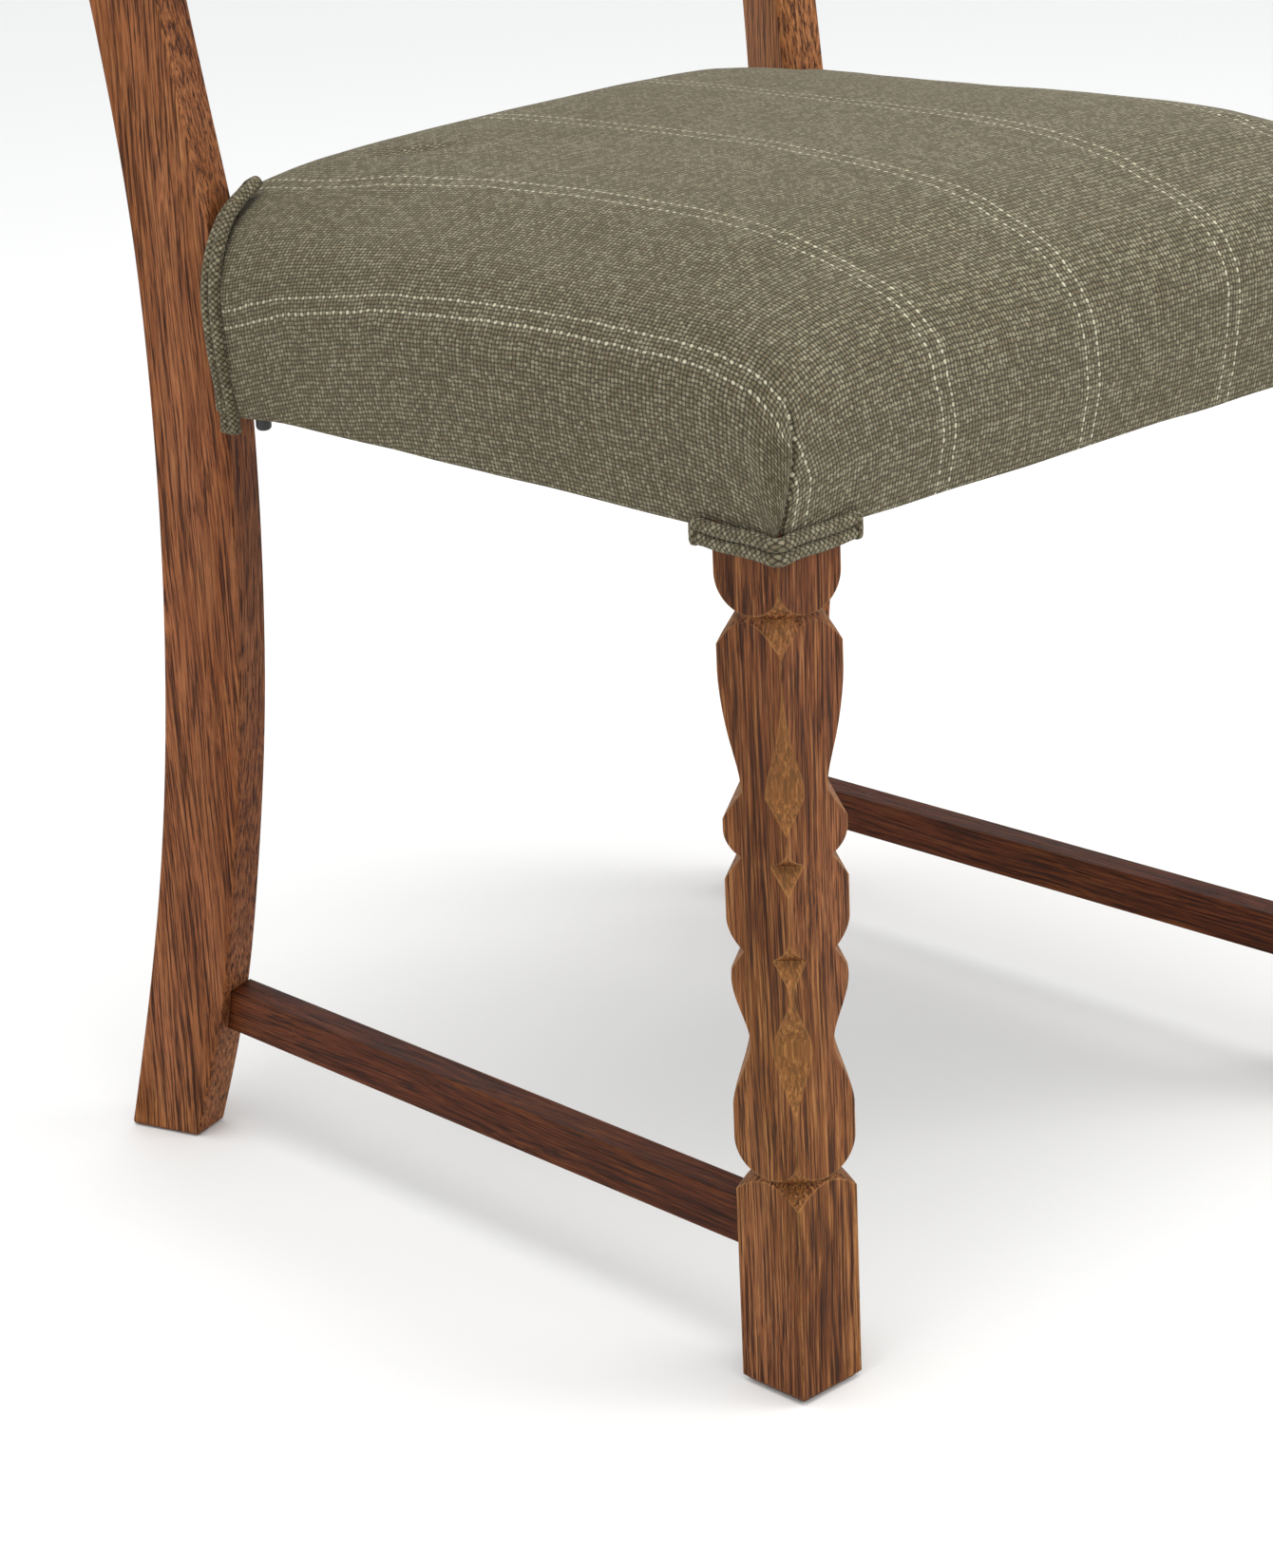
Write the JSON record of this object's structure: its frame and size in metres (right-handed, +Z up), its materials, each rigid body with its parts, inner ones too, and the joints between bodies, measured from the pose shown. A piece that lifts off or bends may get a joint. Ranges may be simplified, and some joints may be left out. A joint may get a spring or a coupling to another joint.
{
  "type": "upholstered dining chair",
  "caption": "Side chair without arms: carved square front legs, swept rear legs, side stretchers, ladder back and a striped over-upholstered seat with double welt.",
  "frame": {"origin": "on the floor, under the middle of the chair's overall box", "axes": "+Z up, the front of the seat faces -Y, +X is the sitter's left"},
  "size_m": [0.4736, 0.507, 0.962],
  "materials": {
    "carved_oak": "oiled oak, sawn and carved, straight grain",
    "post_oak": "oiled oak, straight grain",
    "stretcher_oak": "oiled oak, darker red brown",
    "back_oak": "oiled bent oak",
    "rail_beech": "unfinished beech",
    "steel": "zinc plated",
    "webbing": "woven jute webbing",
    "hessian": "plain jute cloth",
    "foam": "upholstery foam",
    "wadding": "soft fibre wadding",
    "seat_cloth": "sage hopsack with thin cream double stripes",
    "welt_cloth": "the seat cloth cut on the bias round a cord",
    "dust_cloth": "black spun-bonded cloth",
    "black_cap": "black, semi-gloss"
  },
  "bodies": {
    "root": {"front_leg_left": "carved_oak", "front_leg_right": "carved_oak", "rear_leg_left": "post_oak", "rear_leg_right": "post_oak", "side_stretcher_left": "stretcher_oak", "side_stretcher_right": "stretcher_oak", "crest_rail": "back_oak", "back_slat_lower": "back_oak", "back_slat_middle": "back_oak", "back_slat_upper": "back_oak", "front_rail": "rail_beech", "rear_rail": "rail_beech", "side_rail_left": "rail_beech", "side_rail_right": "rail_beech", "corner_block_front_left": "rail_beech", "corner_block_front_right": "rail_beech", "corner_block_rear_left": "rail_beech", "corner_block_rear_right": "rail_beech", "corner_block_screws": "steel", "webbing_front_to_back": "webbing", "webbing_side_to_side": "webbing", "webbing_tacks": "steel", "hessian_sheet": "hessian", "foam_pad": "foam", "wadding_layer": "wadding", "seat_cover": "seat_cloth", "front_welt_left": "welt_cloth", "front_welt_right": "welt_cloth", "rear_welt_left": "welt_cloth", "rear_welt_right": "welt_cloth", "dust_cover": "dust_cloth", "dust_cover_staples": "steel", "bolt_caps": "black_cap"}
  },
  "joints": []
}
